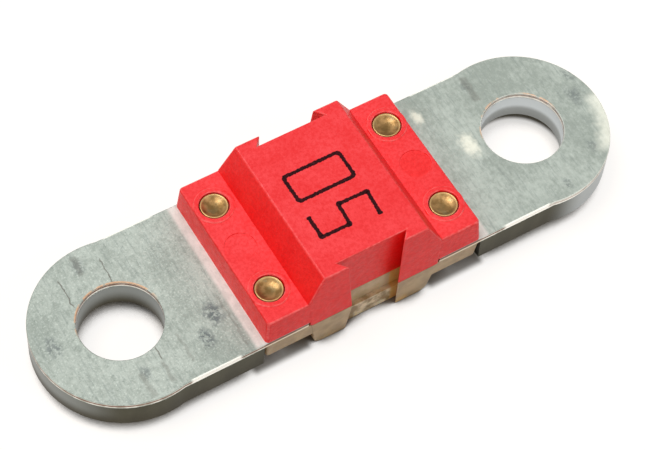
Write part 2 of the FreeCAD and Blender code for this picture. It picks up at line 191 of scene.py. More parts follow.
def band(tree, value, low, high, blur):
    """1 from low to high, and 0 outside."""
    return product(tree, between(tree, value, low - blur, low), between(tree, value, high + blur, high))


print("places, noises and masks ready")

# %% [markdown]
# Colours are mixed by a share, and a mask often asks which way the surface faces. A finish starts
# as one plain surface shader. Its grain is a height that a Bump node turns into relief, which
# costs no extra faces, while every larger form of the fuse is in its mesh.

# %% Colours, directions and relief


def mix(tree, share, first, second, how="MIX"):
    """The first colour where the share is 0 and the second where it is 1."""
    colours = [c if isinstance(c, bpy.types.NodeSocket) else (*c, 1) for c in (first, second)]
    return add(tree, "Mix", {0: share, 6: colours[0], 7: colours[1]},
               data_type="RGBA", blend_type=how).outputs[2]


def along(tree, vector):
    """The three parts of a place or a direction."""
    parts = add(tree, "SeparateXYZ", {0: vector}).outputs
    return parts["X"], parts["Y"], parts["Z"]


def facing(tree):
    """The direction that the surface faces, as its three parts."""
    return along(tree, add(tree, "NewGeometry", {}).outputs["Normal"])


def new_finish(name, colour, roughness, metallic=0.0, gloss=0.5):
    """A material with one surface shader, and its tree and shader ready to be worked on."""
    material = bpy.data.materials.new(name)
    material.use_nodes = True
    tree = material.node_tree
    shader = tree.nodes["Principled BSDF"]
    shader.inputs["Base Color"].default_value = (*colour, 1)
    shader.inputs["Roughness"].default_value = roughness
    shader.inputs["Metallic"].default_value = metallic
    shader.inputs["Specular IOR Level"].default_value = gloss
    return material, tree, shader


def emboss(tree, shader, height, depth_mm):
    """Let a height from 0 to 1 catch the light as relief that deep."""
    bump = add(tree, "Bump", {"Height": height, "Distance": depth_mm * MM, "Strength": 1.0})
    tree.links.new(bump.outputs[0], shader.inputs["Normal"])


print("colours, directions and relief ready")

# %% [markdown]
# The fuse lies on a white sheet under a large lamp, which stands behind it to the left. A sun
# lamp with a wide angle gives the same light everywhere and a soft shadow, and the world adds
# what a white room sends back. A much weaker lamp, the window in front, does little to the
# faces, but draws the thin lights along the rounded near edges. The room looks dimmer in a
# mirror low down, which keeps steep faces calm. The sheet is burnt out to white in such
# pictures except close under the part, so the share of open sky over each place, from an
# Ambient Occlusion node, says where it may darken. Two masks help it: light falls through the
# right hole, so the sheet stays bright there, and it stays dark below the two flanges.

# %% Floor, room and lamp
FLOOR_HEIGHT = CAD_BOX[0].z
ROOM_LIGHT = 0.36
LAMPS = {"overhead_lamp": (0.56, 24, (-0.30, 0.22, 1.0)), "window": (0.08, 8, (0.30, -0.62, 0.72))}
SHADOW_REACH = 2.1 * MM
# In millimetres, along the fuse
HOLE_FROM_MIDDLE = 15.0
FLANGES_FROM_MIDDLE = (4.7, 8.3)


def seen_as_picture(tree):
    """1 for rays that make the picture directly, in a mirror or through glass, and 0 for lighting."""
    path = add(tree, "LightPath", {}).outputs
    seen = larger(tree, path["Is Camera Ray"], path["Is Glossy Ray"])
    return larger(tree, seen, path["Is Transmission Ray"])


def make_floor():
    mesh = bpy.data.meshes.new("white_sheet")
    half = 0.6
    corners = [(-half, -half, 0), (half, -half, 0), (half, half, 0), (-half, half, 0)]
    mesh.from_pydata(corners, [], [(0, 1, 2, 3)])
    floor = new_object("white_sheet", mesh)
    floor.location.z = FLOOR_HEIGHT
    material = bpy.data.materials.new("white_sheet")
    material.use_nodes = True
    tree = material.node_tree
    tree.nodes.clear()
    paper = add(tree, "BsdfDiffuse", {"Color": (0.72, 0.71, 0.71, 1)}).outputs[0]
    open_sky = add(tree, "AmbientOcclusion", {"Distance": SHADOW_REACH}, samples=16).outputs["AO"]
    from_right_hole = length_of(tree, vectors(tree, "ADD", millimetres(tree), (-HOLE_FROM_MIDDLE, 0, 0)))
    # Painted light and shade on the sheet: it is kept bright under the right hole, and a painted shadow
    # darkens it under the two flanges.
    under_right_hole = product(tree, between(tree, from_right_hole, 3.4, 3.0), 0.7)
    sideways, inwards, _ = [unsigned(tree, part) for part in along(tree, millimetres(tree))]
    under_flanges = product(tree, band(tree, sideways, *FLANGES_FROM_MIDDLE, 0.5),
                            between(tree, inwards, 6.1, 5.5), 0.85)
    glow = larger(tree, between(tree, open_sky, 0.42, 0.68), under_right_hole)
    glow = product(tree, glow, calculate(tree, "SUBTRACT", 1.0, under_flanges), 0.88)
    shaded = add(tree, "BsdfDiffuse", {"Color": (0.215, 0.183, 0.145, 1)}).outputs[0]
    lit = add(tree, "Emission", {"Color": (1, 0.99, 0.985, 1), "Strength": glow}).outputs[0]
    white = add(tree, "AddShader", {0: shaded, 1: lit}).outputs[0]
    either = add(tree, "MixShader", {0: seen_as_picture(tree), 1: paper, 2: white}).outputs[0]
    add(tree, "OutputMaterial", {"Surface": either})
    mesh.materials.append(material)


def light_room():
    world = bpy.data.worlds.new("white_room")
    world.use_nodes = True
    tree = world.node_tree
    tree.nodes.clear()
    dim = add(tree, "Background", {"Color": (1, 1, 1, 1), "Strength": ROOM_LIGHT}).outputs[0]
    upwards = along(tree, add(tree, "TexCoord", {}).outputs["Generated"])[2]
    mirrored = mix(tree, between(tree, upwards, -0.3, 0.6), (0.40, 0.40, 0.40), (0.96, 0.96, 0.96))
    path = add(tree, "LightPath", {}).outputs
    seen = mix(tree, larger(tree, path["Is Camera Ray"], path["Is Transmission Ray"]),
               mirrored, (1, 1, 1))
    white = add(tree, "Background", {"Color": seen, "Strength": 1.0}).outputs[0]
    either = add(tree, "MixShader", {0: seen_as_picture(tree), 1: dim, 2: white}).outputs[0]
    add(tree, "OutputWorld", {"Surface": either})
    bpy.context.scene.world = world

    for name, (level, angle, towards) in LAMPS.items():
        towards = Vector(towards).normalized()
        lamp = bpy.data.lights.new(name, "SUN")
        lamp.angle = math.radians(angle)
        lamp.energy = level * math.pi / towards.z
        holder = new_object(name, lamp)
        holder.rotation_mode = "QUATERNION"
        holder.rotation_quaternion = towards.to_track_quat("Z", "Y")


make_floor()
light_room()
bpy.context.scene.view_settings.view_transform = "Standard"
print("light on a level surface: %.2f" % (ROOM_LIGHT + sum(lamp[0] for lamp in LAMPS.values())))

# %% [markdown]
# Tin plating on rolled copper is matt and softly cloudy, with fine marks from the rolls. Bending
# and handling leave a few scratches and smudges, and the punch breaks the plating at the rim
# of each hole and along the cut edge, where bare copper shows as a dark band between two bright
# lines. A photo texture could carry all this, but noises at several sizes give it at any
# distance, and simple masks made from the place in millimetres say where each mark lies.

# %% Clouds, smudges and scratches
# In millimetres, as all places and sizes in the finishes are
HOLE_RADIUS = 2.75
STRIP_TOP_MM = 2.35
WANDER = 0.5


def tin_clouds(tree, place):
    """Cloudy tin from its darker to its lighter tone, as a share from 0 to 1."""
    clouds = noise(tree, place, 0.30, detail=4)
    mottle = noise(tree, place, 2.6, detail=5, roughness=0.6)
    rolled = noise(tree, place, 5.0, stretch=(1.0, 0.35, 1), detail=4, roughness=0.65)
    both = plus(tree, product(tree, clouds, 0.40), product(tree, mottle, 0.30))
    return plus(tree, both, product(tree, rolled, 0.30))


def smudge(tree, place, x, y, radius):
    """1 in the middle of a ragged spot, in millimetres, fading to 0 at its edge. It is longer across."""
    apart = vectors(tree, "ADD", place, (-x, -y, -STRIP_TOP_MM))
    distance = length_of(tree, vectors(tree, "MULTIPLY", apart, (1.15, 0.7, 1)))
    torn = plus(tree, distance, product(tree, noise(tree, place, 3.0, detail=4), radius))
    return between(tree, torn, radius * 1.5, radius * 0.7)


def scratch(tree, parts, place, x, low, high, width):
    """1 on a thin, wavering line across the strip."""
    wander = product(tree, noise(tree, place, 1.6, detail=4), WANDER)
    bent = plus(tree, parts[0], wander)
    offset = unsigned(tree, plus(tree, bent, -x - WANDER / 2))
    return product(tree, between(tree, offset, width, width * 0.3), band(tree, parts[1], low, high, 0.25))


def plan_length(tree, x, y):
    """How long a step of x and y is, seen from above."""
    return length_of(tree, add(tree, "CombineXYZ", {"X": x, "Y": y}).outputs[0])


def hole_distance(tree, parts):
    """How far a place is from the middle of the nearer bolt hole, in millimetres."""
    beside = calculate(tree, "SUBTRACT", unsigned(tree, parts[0]), HOLE_FROM_MIDDLE)
    return plan_length(tree, beside, parts[1])


print("bolt holes: radius %.2f mm, %.0f mm apart" % (HOLE_RADIUS, 2 * HOLE_FROM_MIDDLE))

# %% [markdown]
# The larger marks are listed by where they lie on the real tabs. Each is laid over the cloudy
# tin in turn: the grain first, then smudges, painted glares and scratches, then a painted
# reflection of the cover beside the body and a painted glare at the far end, and last the worn
# rims of the holes. Noise gives every mark its ragged outline.

# %% Colour of the tinned face
BODY_HALF_LENGTH = 7.90
# Each smudge: x, y, radius and how dark it is
SMUDGES = ((-9.7, -2.3, 0.90, 1.0), (-10.9, -3.7, 0.7, 1.0), (-15.5, 4.7, 0.7, 0.6),
           (-19.5, 0.35, 0.8, 0.7), (-15.4, -4.0, 0.5, 0.6), (19.5, 0.6, 0.8, 0.6),
           (20.1, 2.2, 0.6, 0.5), (18.3, -3.4, 0.5, 0.45), (15.2, -5.1, 0.45, 0.6),
           (13.5, 4.6, 0.6, 0.4))
# Each painted glare, a pale highlight on the tin: x, y and radius
PAINTED_GLARES = ((11.2, 0.55, 0.95), (9.3, 4.1, 0.6))
# Each scratch: x, where it starts and ends across the strip, half its width and how dark it is
SCRATCHES = ((-14.07, 2.8, 4.5, 0.06, 0.75), (-17.05, 2.4, 4.3, 0.06, 0.75),
             (-14.0, -3.5, -2.8, 0.07, 0.75), (-15.65, -5.6, -4.0, 0.30, 0.32),
             (-14.1, -5.2, -3.9, 0.22, 0.32), (-15.5, 4.2, 5.4, 0.32, 0.35),
             (13.6, 3.4, 5.3, 0.38, 0.34), (-12.4, -4.6, -2.6, 0.14, 0.25),
             (-8.9, -5.2, -1.5, 0.10, 0.30))


def tin_colour(tree, place, parts, share):
    """The plated face: cloudy tin, with its specks, smudges, scratches and torn rims, and with painted
    glares and a painted reflection of the cover.
    """
    tin = mix(tree, share, (0.368, 0.405, 0.366), (0.468, 0.506, 0.462))
    across = noise(tree, place, 2.4, stretch=(2.6, 0.22, 1), detail=4, roughness=0.65)
    tin = mix(tree, product(tree, between(tree, across, 0.54, 0.66), 0.45), tin, (0.302, 0.338, 0.314))
    sharper = plus(tree, 0.35, product(tree, between(tree, parts[0], 6, -8), 0.65))
    grain = noise(tree, place, 8.0, detail=4, roughness=0.7)
    dark_grain = product(tree, between(tree, grain, 0.55, 0.68), sharper, 0.55)
    tin = mix(tree, dark_grain, tin, (0.255, 0.295, 0.270))
    pale_grain = product(tree, between(tree, grain, 0.45, 0.33), sharper, 0.55)
    tin = mix(tree, pale_grain, tin, (0.64, 0.69, 0.63))
    speckled = plus(tree, 0.20,
                    product(tree, between(tree, noise(tree, place, 4.0, detail=4), 0.42, 0.54), 0.80))
    for x, y, radius, depth in SMUDGES:
        soiled = product(tree, smudge(tree, place, x, y, radius), speckled, depth)
        tin = mix(tree, soiled, tin, (0.19, 0.215, 0.21))
    # Painted glares: pale highlights laid into the tin's colour.
    for x, y, radius in PAINTED_GLARES:
        tin = mix(tree, product(tree, smudge(tree, place, x, y, radius), 0.6), tin, (0.90, 0.88, 0.77))
    for x, low, high, width, depth in SCRATCHES:
        line = scratch(tree, parts, place, x, low, high, width)
        tin = mix(tree, product(tree, line, depth), tin, (0.17, 0.165, 0.140))
    # Painted reflection: a pale pinkish band beside the body, where the red cover's end shows in the tin.
    painted_cover_reflection = band(tree, unsigned(tree, parts[0]),
                    BODY_HALF_LENGTH, BODY_HALF_LENGTH + 0.5, 0.30)
    patchy = plus(tree, 0.45, product(tree, noise(tree, place, 1.2, detail=3), 0.6))
    tin = mix(tree, product(tree, painted_cover_reflection, patchy, 0.75), tin, (0.86, 0.80, 0.765))
    from_hole = hole_distance(tree, parts)
    # Painted glare: a pale patch near the far end of the right tab.
    frayed = plus(tree, from_hole, product(tree, noise(tree, place, 1.8, detail=4), 1.2))
    far_end_glare = product(tree, between(tree, frayed, 5.1, 6.3), between(tree, parts[0], 17.8, 19.2),
                      band(tree, parts[1], -3.6, -0.4, 0.9))
    tin = mix(tree, product(tree, far_end_glare, 0.6), tin, (0.87, 0.86, 0.77))
    rim = between(tree, from_hole, HOLE_RADIUS + 0.15, HOLE_RADIUS + 0.08)
    torn = between(tree, noise(tree, place, 1.3, detail=4), 0.40, 0.52)
    worn_rim = product(tree, rim, torn, between(tree, parts[1], 0.0, 1.2), 0.85)
    return mix(tree, worn_rim, tin, (0.64, 0.42, 0.27))


print("marks on the tin: %d smudges, %d glares, %d scratches" % (len(SMUDGES), len(PAINTED_GLARES), len(SCRATCHES)))

# %% [markdown]
# The strip's sheared edge has a finish of its own: bright lines with bare copper between them.
# A few straight stretches get a painted glint, a white highlight laid into the colour of the
# edge, of its roll-over and of the top beside it. The direction that the surface faces says
# which part is edge and which is face, so one material does both, with no seams and no image.

# %% Tinned strip


def make_tinned_strip():
    material, tree, shader = new_finish("tinned_strip", (0.5, 0.55, 0.5), 0.42, metallic=1.0)
    place = millimetres(tree)
    parts = along(tree, place)
    share = between(tree, tin_clouds(tree, place), 0.38, 0.62)
    _, inwards, upwards = [unsigned(tree, part) for part in facing(tree)]
    on_edge = between(tree, upwards, 0.6, 0.3)
    level = calculate(tree, "SQRT", calculate(tree, "SUBTRACT", 1.0001, product(tree, upwards, upwards)))
    straight = between(tree, calculate(tree, "DIVIDE", inwards, level), 0.965, 0.99)
    straight = larger(tree, straight, product(tree, between(tree, parts[0], 8.0, 9.0), 0.7))
    beyond_body = between(tree, unsigned(tree, parts[0]), 7.8, 8.2)
    # Painted glint: white highlights on a few straight stretches of the near edges.
    glint_spans = larger(tree, band(tree, parts[0], -13.0, -9.8, 0.3),
                   band(tree, parts[0], 10.0, 13.1, 0.4))
    glint_on_top_edge = product(tree, glint_spans, between(tree, unsigned(tree, parts[1]), 5.72, 5.82))
    glint_spans = larger(tree, glint_spans, product(tree, between(tree, parts[0], 12.9, 13.3), 0.55))
    painted_glint = product(tree, straight, glint_spans, between(tree, noise(tree, place, 0.7, detail=3), 0.20, 0.30))
    torn = between(tree, noise(tree, place, 0.9, detail=3), 0.25, 0.45)
    bare = product(tree, on_edge, band(tree, parts[2], 2.14, 2.24, 0.03), torn,
                   calculate(tree, "SUBTRACT", 1.0, product(tree, painted_glint, 0.85)))
    bright = between(tree, noise(tree, place, 1.4, stretch=(1, 1, 0.2), detail=3), 0.35, 0.6)
    edge = mix(tree, bright, (0.42, 0.41, 0.35), (0.78, 0.76, 0.69))
    clamped = mix(tree, between(tree, parts[2], 2.16, 2.22), (0.66, 0.58, 0.45), (0.13, 0.06, 0.045))
    edge = mix(tree, beyond_body, clamped, edge)
    edge = mix(tree, painted_glint, edge, (1.0, 0.98, 0.92))
    plated = mix(tree, on_edge, tin_colour(tree, place, parts, share), edge)
    # The painted glint also covers the roll-over and a thin strip of the top.
    glint_on_roll_over = product(tree, band(tree, upwards, 0.55, 0.90, 0.05), painted_glint)
    painted_glint_rim = product(tree, larger(tree, glint_on_roll_over, glint_on_top_edge), 0.85)
    plated = mix(tree, painted_glint_rim, plated, (1.0, 0.98, 0.92))
    tree.links.new(mix(tree, bare, plated, (0.19, 0.085, 0.05)), shader.inputs["Base Color"])
    rough = plus(tree, product(tree, share, -0.08), 0.82)
    rough = calculate(tree, "SUBTRACT", rough, product(tree, on_edge, 0.38))
    tree.links.new(rough, shader.inputs["Roughness"])
    emboss(tree, shader, tin_clouds(tree, place), 0.010)
    return material


FINISHES = {"tinned_strip": make_tinned_strip()}
print("finishes:", ", ".join(FINISHES))

# %% [markdown]
# The plates are of thicker stock. Their sides carry upright streaks. Painted shade makes the
# sides darker towards the bottom, and painted light makes them lighter where they face along the
# fuse, inside the holes and round the right end. Their flat faces have the same cloudy tin as the
# strip.

# %% Terminal plate finish


def make_tinned_plate():
    material, tree, shader = new_finish("tinned_plate", (0.3, 0.33, 0.28), 0.45, metallic=1.0)
    place = millimetres(tree)
    parts = along(tree, place)
    streaks = between(tree, noise(tree, place, 0.9, stretch=(1, 1, 0.3), detail=4), 0.3, 0.7)
    # Painted shade: the sides are darker towards the bottom.
    low = between(tree, parts[2], 1.6, 0.1)
    upper = mix(tree, streaks, (0.052, 0.048, 0.026), (0.069, 0.064, 0.037))
    lower = mix(tree, streaks, (0.033, 0.027, 0.011), (0.047, 0.040, 0.020))
    # Painted light: lighter where the sides face along the fuse, inside the holes and round the right end.
    sideways = product(tree, between(tree, unsigned(tree, facing(tree)[0]), 0.45, 0.98),
                       between(tree, parts[2], 0.1, 1.3))
    from_hole = hole_distance(tree, parts)
    painted_hole_light = product(tree, between(tree, from_hole, 3.2, 2.9), between(tree, parts[2], 0.0, 1.6), 0.60)
    painted_side_light = larger(tree, product(tree, sideways, 0.5), painted_hole_light)
    sheared = mix(tree, painted_side_light, mix(tree, low, upper, lower), (0.38, 0.41, 0.405))
    lit_above = plus(tree, 0.36, product(tree, between(tree, parts[2], 0.70, 1.20), 0.60))
    painted_right_hole_light = product(tree, between(tree, from_hole, 3.2, 2.9), between(tree, parts[0], -5, 5), lit_above)
    painted_right_end_light = product(tree, between(tree, parts[0], 13.2, 16.2), between(tree, from_hole, 4.0, 4.5),
                        between(tree, parts[1], 3.5, -3.0), 0.62)
    sheared = mix(tree, larger(tree, painted_right_hole_light, painted_right_end_light), sheared, (0.60, 0.645, 0.66))
    clouds = between(tree, tin_clouds(tree, place), 0.36, 0.64)
    rolled = mix(tree, clouds, (0.44, 0.49, 0.435), (0.56, 0.615, 0.55))
    flat = between(tree, unsigned(tree, facing(tree)[2]), 0.5, 0.9)
    tree.links.new(mix(tree, flat, sheared, rolled), shader.inputs["Base Color"])
    emboss(tree, shader, tin_clouds(tree, place), 0.012)
    return material


FINISHES["tinned_plate"] = make_tinned_plate()
print("finishes:", ", ".join(FINISHES))

# %% [markdown]
# The cover is moulded in a strong red plastic with a fine pebbled grain, so its gloss is soft.
# A sheen is painted on the faces that look up, as a lighter red, and highlights are painted
# along its rounded edges. One flat red would look like paint, so the tone, the pebbles, the
# roughness and the relief each have their noise.

# %% Red moulding
# In millimetres
MARK_FROM_MIDDLE = 6.45


def make_red_moulding():
    material, tree, shader = new_finish("red_moulding", (0.93, 0.015, 0.012), 0.40, gloss=0.32)
    place = millimetres(tree)
    sideways, inwards, upwards = [unsigned(tree, part) for part in facing(tree)]
    tone = between(tree, noise(tree, place, 0.6, detail=5), 0.3, 0.7)
    clean = mix(tree, tone, (0.90, 0.007, 0.006), (0.95, 0.014, 0.012))
    # Painted sheen: a lighter red for faces that look up, with less of it on the ejector mark.
    sheen_red = mix(tree, tone, (0.92, 0.037, 0.041), (0.97, 0.058, 0.064))
    parts = along(tree, place)
    from_mark = plan_length(tree, calculate(tree, "SUBTRACT", parts[0], MARK_FROM_MIDDLE), parts[1])
    top_sheen = product(tree, between(tree, upwards, 0.75, 0.97),
                   plus(tree, 0.4, product(tree, between(tree, from_mark, 0.9, 1.1), 0.6)))
    red = mix(tree, top_sheen, clean, sheen_red)
    # Painted highlights along the rounded edges and upright corners; the slopes' edges are left out.
    slope = product(tree, between(tree, sideways, 0.78, 0.86), between(tree, inwards, 0.2, 0.1))
    rounded = product(tree, band(tree, upwards, 0.40, 0.95, 0.04), calculate(tree, "SUBTRACT", 1.0, slope),
                      plus(tree, 0.25, product(tree, between(tree, inwards, 0.1, 0.3), 0.75)))
    corner = product(tree, between(tree, sideways, 0.25, 0.45), between(tree, inwards, 0.3, 0.5))
    painted_edge_highlight = product(tree, larger(tree, rounded, product(tree, corner, 0.6)),
                     between(tree, noise(tree, place, 2.0, detail=4), 0.25, 0.55))
    red = mix(tree, product(tree, painted_edge_highlight, 0.8), red, (1.0, 0.17, 0.16))
    pebbled = between(tree, noise(tree, place, 4.6, detail=3, roughness=0.65), 0.40, 0.62)
    dimple = mix(tree, top_sheen, (0.90, 0.60, 0.60), (0.94, 0.55, 0.55))
    red = mix(tree, pebbled, red, dimple, how="MULTIPLY")
    rough = add(tree, "MapRange", {
        "Value": noise(tree, place, 3.0, detail=4), "From Min": 0.3, "From Max": 0.7,
        "To Min": 0.33, "To Max": 0.50}).outputs[0]
    tree.links.new(rough, shader.inputs["Roughness"])
    specks = between(tree, noise(tree, place, 11.0, detail=2), 0.66, 0.78)
    red = mix(tree, product(tree, specks, 0.5), red, (0.72, 0.008, 0.007))
    tree.links.new(red, shader.inputs["Base Color"])
    grain = plus(tree, product(tree, noise(tree, place, 7.5, detail=3, roughness=0.6), 0.75),
                 product(tree, noise(tree, place, 1.6, detail=2), 0.25))
    emboss(tree, shader, grain, 0.040)
    return material


FINISHES["red_moulding"] = make_red_moulding()
print("finishes:", ", ".join(FINISHES))

# %% [markdown]
# The housing is a natural amber plastic that lets a little light in, which subsurface scattering
# gives. Inside the notches it is mottled with brown, and beside their flanks an orange glow is
# painted, where light comes through the amber. Masks keep those tones inside the notches and
# off the sole.

# %% Amber moulding


def make_amber_moulding():
    material, tree, shader = new_finish("amber_moulding", (0.40, 0.27, 0.15), 0.42, gloss=0.35)
    shader.inputs["Subsurface Weight"].default_value = 0.3
    shader.inputs["Subsurface Radius"].default_value = (1.0, 0.5, 0.2)
    shader.inputs["Subsurface Scale"].default_value = 0.5 * MM
    place = millimetres(tree)
    parts = along(tree, place)
    tone = between(tree, noise(tree, place, 1.1, detail=4), 0.3, 0.7)
    amber = mix(tree, tone, (0.345, 0.222, 0.100), (0.48, 0.325, 0.158))
    not_under = between(tree, facing(tree)[2], -0.75, -0.45)
    across = unsigned(tree, parts[1])
    inside = product(tree, between(tree, unsigned(tree, parts[0]), 2.7, 2.3),
                     band(tree, across, 4.8, 5.35, 0.1), not_under)
    uneven = plus(tree, noise(tree, place, 1.2, detail=4), product(tree, parts[0], 0.035))
    flow = between(tree, uneven, 0.38, 0.60)
    brown = mix(tree, flow, (0.30, 0.190, 0.080), (0.88, 0.72, 0.47))
    upper = mix(tree, flow, (0.50, 0.365, 0.20), (0.62, 0.465, 0.28))
    recess = mix(tree, between(tree, parts[2], 0.40, 0.50), brown, upper)
    amber = mix(tree, product(tree, inside, 0.85), amber, recess)
    # Painted glow: orange light through the amber beside the notches' flanks, and low by the right one.
    painted_glow = product(tree, band(tree, unsigned(tree, parts[0]), 1.80, 2.85, 0.25),
                   band(tree, across, 4.8, 5.40, 0.1), not_under, 0.85)
    low_corner_glow = product(tree, band(tree, parts[0], 1.6, 2.5, 0.4), between(tree, parts[2], 0.0, -0.8),
                         between(tree, across, 5.2, 5.4), not_under, 0.5)
    painted_glow = larger(tree, painted_glow, low_corner_glow)
    tree.links.new(mix(tree, painted_glow, amber, (0.76, 0.43, 0.11)), shader.inputs["Base Color"])
    emboss(tree, shader, noise(tree, place, 5.0, detail=3), 0.015)
    return material


FINISHES["amber_moulding"] = make_amber_moulding()
print("finishes:", ", ".join(FINISHES))

# %% [markdown]
# The rivets are dull brass, greener in places, with darker stains in their dishes, and a
# highlight is painted round each rim. The distance from the nearest rivet's axis says where each
# begins, so that one material serves all four.

# %% Rivet brass
# In millimetres, along and across the fuse
RIVET_FROM_MIDDLE = (6.40, 3.47)


def make_rivet_brass():
    material, tree, shader = new_finish("rivet_brass", (0.26, 0.18, 0.09), 0.45, metallic=1.0)
    place = millimetres(tree)
    parts = along(tree, place)
    beside = [calculate(tree, "SUBTRACT", unsigned(tree, part), middle)
              for part, middle in zip(parts, RIVET_FROM_MIDDLE)]
    from_axis = plan_length(tree, *beside)
    tone = between(tree, noise(tree, place, 2.2, detail=5), 0.36, 0.62)
    brass = mix(tree, tone, (0.215, 0.122, 0.043), (0.385, 0.230, 0.094))
    greened = between(tree, noise(tree, place, 1.7, detail=3), 0.52, 0.66)
    brass = mix(tree, product(tree, greened, 0.5), brass, (0.265, 0.220, 0.120))
    uneven = plus(tree, from_axis, product(tree, noise(tree, place, 3.0, detail=3), 0.5))
    brass = mix(tree, product(tree, between(tree, uneven, 0.85, 0.40), 0.65), brass, (0.13, 0.080, 0.028))
    # Painted highlight: a lighter ring round the rim of each head.
    rim = between(tree, from_axis, 0.74, 0.84)
    brass = mix(tree, product(tree, rim, 0.7), brass, (0.52, 0.35, 0.15))
    tree.links.new(brass, shader.inputs["Base Color"])
    emboss(tree, shader, noise(tree, place, 4.0, detail=3), 0.018)
    return material


FINISHES["rivet_brass"] = make_rivet_brass()
print("finishes:", ", ".join(FINISHES))

# %% [markdown]
# No real edge is perfectly sharp, and the thin light along a rounded edge is what makes metal
# and plastic look solid. A bevel modifier rounds all sharp edges alike unless each has a weight.
# Mesh code can choose the outward edges instead, and give each kind its own radius. Then
# each face is shaded smooth, edges over 35 degrees stay sharp, and weighted normals keep the
# large faces flat.

# %% Rounding edges and showing a piece
SHARP = math.radians(35)


def soften(shape, radius, wanted=lambda edge: True):
    """Round the outward edges that are wanted, and say how many there were."""
    shape.normal_update()
    outward = [edge for edge in shape.edges
               if edge.is_manifold and edge.is_convex and edge.calc_face_angle(0) > SHARP and wanted(edge)]
    bmesh.ops.bevel(shape, geom=outward, offset=radius, offset_type="OFFSET",
                    segments=4, profile=0.5, affect="EDGES", clamp_overlap=False)
    return len(outward)


def level_with(height):
    """A test for edges that lie at a height."""
    return lambda edge: all(abs(corner.co.z - height) < 1e-3 * abs(height) + 1e-6 for corner in edge.verts)


def mesh_of(shape, name):
    """The finished mesh of a shape, with all its faces turned outward."""
    bmesh.ops.recalc_face_normals(shape, faces=shape.faces)
    mesh = bpy.data.meshes.new(name)
    shape.to_mesh(mesh)
    shape.free()
    return mesh


def show_in_place_of(node_name, mesh):
    """Show a mesh, in metres, in place of a solid, with the finish of that solid's slot."""
    slot = next(part["material_slot"] for part in frame["record"]["subparts"] if part["node"] == node_name)
    if "custom_normal" in mesh.attributes:
        mesh.attributes.remove(mesh.attributes["custom_normal"])
    mesh.materials.clear()
    mesh.materials.append(FINISHES[slot])
    for face in mesh.polygons:
        face.use_smooth = True
        face.material_index = 0
    mesh.set_sharp_from_angle(angle=SHARP)
    piece = new_object(node_name + "_finished", mesh)
    weighted = piece.modifiers.new("flat faces stay flat", "WEIGHTED_NORMAL")
    weighted.keep_sharp = True
    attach(piece, "root")
    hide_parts(node_name)
    print("%-32s %5d faces" % (piece.name, len(mesh.polygons)))


print("edges over %.0f degrees stay sharp" % math.degrees(SHARP))

# %% [markdown]
# The strip and the plates are punched from sheet. Their solids are copied and their facets
# merged back into flat faces. The punch pulls the upper edges of the strip down into a soft
# roll-over, while the edges below it stay crisp.

# %% Strip and terminal plates
FLAT = math.radians(0.4)
ROLL_OVER = 0.10 * MM
CRISP_EDGE = 0.04 * MM
PLATE_EDGE = 0.04 * MM


def merged_copy(node_name):
    """The solid of a node with its facets merged into flat faces."""
    shape = bmesh.new()
    shape.from_mesh(frame["nodes"][node_name].data)
    bmesh.ops.remove_doubles(shape, verts=shape.verts, dist=0.0005 * MM)
    bmesh.ops.dissolve_limit(shape, angle_limit=FLAT, verts=shape.verts, edges=shape.edges)
    return shape


strip = merged_copy("fuse_strip")
print("strip: %d edges rolled over" % soften(strip, ROLL_OVER, level_with(STRIP_TOP)))
print("strip: %d crisp edges" % soften(strip, CRISP_EDGE))
show_in_place_of("fuse_strip", mesh_of(strip, "fuse_strip_finished"))
for plate_name in ("left_terminal_plate", "right_terminal_plate"):
    plate = merged_copy(plate_name)
    print("plate: %d edges" % soften(plate, PLATE_EDGE))
    show_in_place_of(plate_name, mesh_of(plate, plate_name + "_finished"))

# %% [markdown]
# The mouldings have drafted walls and small fillets, and bevelling their copied facets would
# tear at the fillets' tiny edges. They are built afresh instead, in millimetres: outlines at a
# few heights are joined into a closed shape, its edges are rounded while it is still simple,
# and round features are turned and then joined or cut away with exact Booleans. Each Boolean
# runs as a modifier on a short-lived object, and only its result is kept.

# %% Lofts and turned shapes
SIDES = 64


def loft(levels):
    """A closed shape through outlines with equal counts of corners, from low to high."""
    shape = bmesh.new()
    rings = [[shape.verts.new((x, y, height)) for x, y in outline] for height, outline in levels]
    shape.faces.new(rings[0][::-1])
    shape.faces.new(rings[-1])
    for lower, upper in zip(rings, rings[1:]):
        for index, corner in enumerate(lower):
            after = (index + 1) % len(lower)
            shape.faces.new((corner, lower[after], upper[after], upper[index]))
    return shape


def plain_box(low, high):
    outline = [(low[0], low[1]), (high[0], low[1]), (high[0], high[1]), (low[0], high[1])]
    return loft([(low[2], outline), (high[2], outline)])


def turned(profile, places):
    """A profile of (radius, height) pairs, from the axis and back to it, turned at each place."""
    shape = bmesh.new()
    turn = [(math.cos(math.tau * k / SIDES), math.sin(math.tau * k / SIDES)) for k in range(SIDES)]
    for x, y in places:
        rings = []
        for radius, height in profile:
            round_it = turn if radius else turn[:1]
            rings.append([shape.verts.new((x + radius * c, y + radius * s, height)) for c, s in round_it])
        for one, two in zip(rings, rings[1:]):
            for k in range(SIDES):
                after = (k + 1) % SIDES
                corners = (one[k % len(one)], one[after % len(one)],
                           two[after % len(two)], two[k % len(two)])
                shape.faces.new(list(dict.fromkeys(corners)))
    return shape


print("a turned shape has %d sides" % SIDES)

# %% [markdown]
# An exact cut can leave corners that nearly coincide, and the thin triangles between them would
# shade badly. Smoothing would only hide them. Here they are merged after the last cut, and the
# number of open edges that are left is printed.

# %% Cuts and clean meshes
# In millimetres
SLIVER = 0.002


